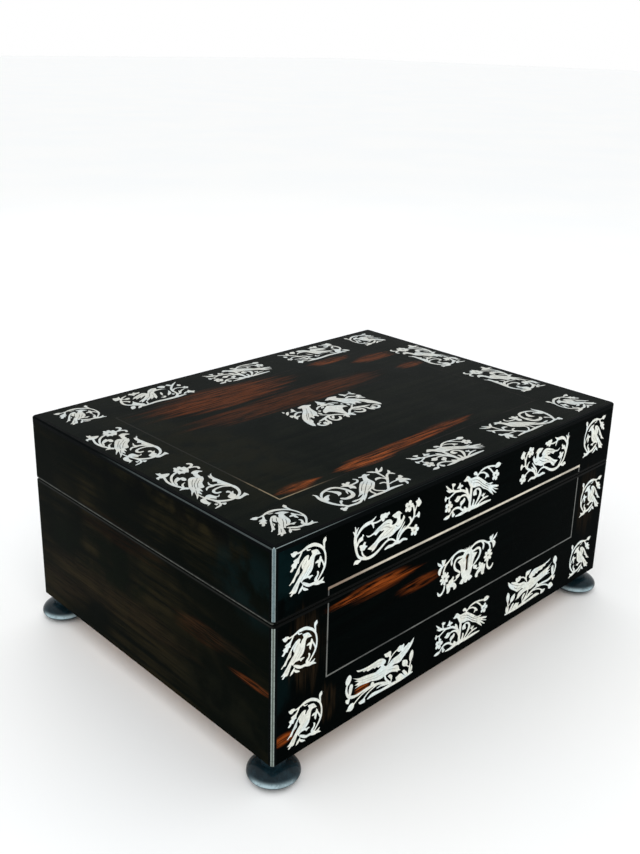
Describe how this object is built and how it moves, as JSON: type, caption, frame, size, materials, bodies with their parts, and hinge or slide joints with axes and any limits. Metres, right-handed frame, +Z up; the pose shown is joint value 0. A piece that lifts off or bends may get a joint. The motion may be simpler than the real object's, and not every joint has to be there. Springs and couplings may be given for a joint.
{
  "type": "inlaid box",
  "caption": "Veneered wooden box with a deep hinged lid, pearl inlay, a lock, turned feet and a lift-out tray.",
  "frame": {"origin": "on the ground, under the middle of the box", "axes": "+Z up, the front faces -Y, the hinges are along the back at +Y, +X to the right seen from the front"},
  "size_m": [0.3153, 0.2392, 0.141],
  "materials": {
    "carcass": "oiled softwood, seen on the inside only",
    "dark_veneer": "polished dark figured veneer with red-brown streaks",
    "ebony_trim": "polished ebony",
    "rim_wood": "worn polished hardwood",
    "ebonised_feet": "glossy black turned wood",
    "brass": "aged lacquered brass",
    "lock_steel": "dull filed steel",
    "tray_wood": "waxed red-brown hardwood",
    "lining_cloth": "dark red silk velvet",
    "pearl": "polished mother-of-pearl, milky white with engraved lines",
    "stringing": "fine light wood lines, partly rubbed and darkened"
  },
  "bodies": {
    "base": {"base_front_board": "carcass", "base_back_board": "carcass", "base_left_board": "carcass", "base_right_board": "carcass", "bottom_board": "carcass", "base_front_veneer": "dark_veneer", "base_back_veneer": "dark_veneer", "base_left_veneer": "dark_veneer", "base_right_veneer": "dark_veneer", "base_corner_strips": "ebony_trim", "base_lipping": "rim_wood", "feet": "ebonised_feet", "hinge_base_leaves": "brass", "hinge_pins": "brass", "lock_case": "brass", "tray_bearers": "tray_wood", "well_lining": "lining_cloth", "base_front_pearl": "pearl", "base_front_stringing": "stringing"},
    "lid": {"lid_front_board": "carcass", "lid_back_board": "carcass", "lid_left_board": "carcass", "lid_right_board": "carcass", "lid_top_board": "carcass", "lid_front_veneer": "dark_veneer", "lid_back_veneer": "dark_veneer", "lid_left_veneer": "dark_veneer", "lid_right_veneer": "dark_veneer", "lid_top_veneer": "dark_veneer", "lid_corner_strips": "ebony_trim", "lid_top_edging": "ebony_trim", "lid_lipping": "rim_wood", "hinge_lid_leaves": "brass", "link_plate": "brass", "lid_lining": "lining_cloth", "lid_top_pearl": "pearl", "lid_front_pearl": "pearl", "lid_top_stringing": "stringing", "lid_front_stringing": "stringing"},
    "tray": {"tray_front": "tray_wood", "tray_back": "tray_wood", "tray_left": "tray_wood", "tray_right": "tray_wood", "tray_bottom": "tray_wood", "tray_long_divider": "tray_wood", "tray_cross_divider_left": "tray_wood", "tray_cross_divider_right": "tray_wood", "tray_knobs": "tray_wood", "tray_linings": "lining_cloth"},
    "lock_bolt": {"lock_bolt": "lock_steel"}
  },
  "joints": [
    {"name": "lid_hinge", "type": "hinge", "parent": "base", "child": "lid", "pos_m": [0, 0.1119, 0.0991], "axis": [-1, 0, 0], "range_deg": [0, 98]},
    {"name": "tray_lift", "type": "slide", "parent": "base", "child": "tray", "axis": [0, 0, 1], "range_m": [0, 0.028]},
    {"name": "lock_bolt_slide", "type": "slide", "parent": "base", "child": "lock_bolt", "axis": [1, 0, 0], "range_m": [0, 0.0045]}
  ]
}
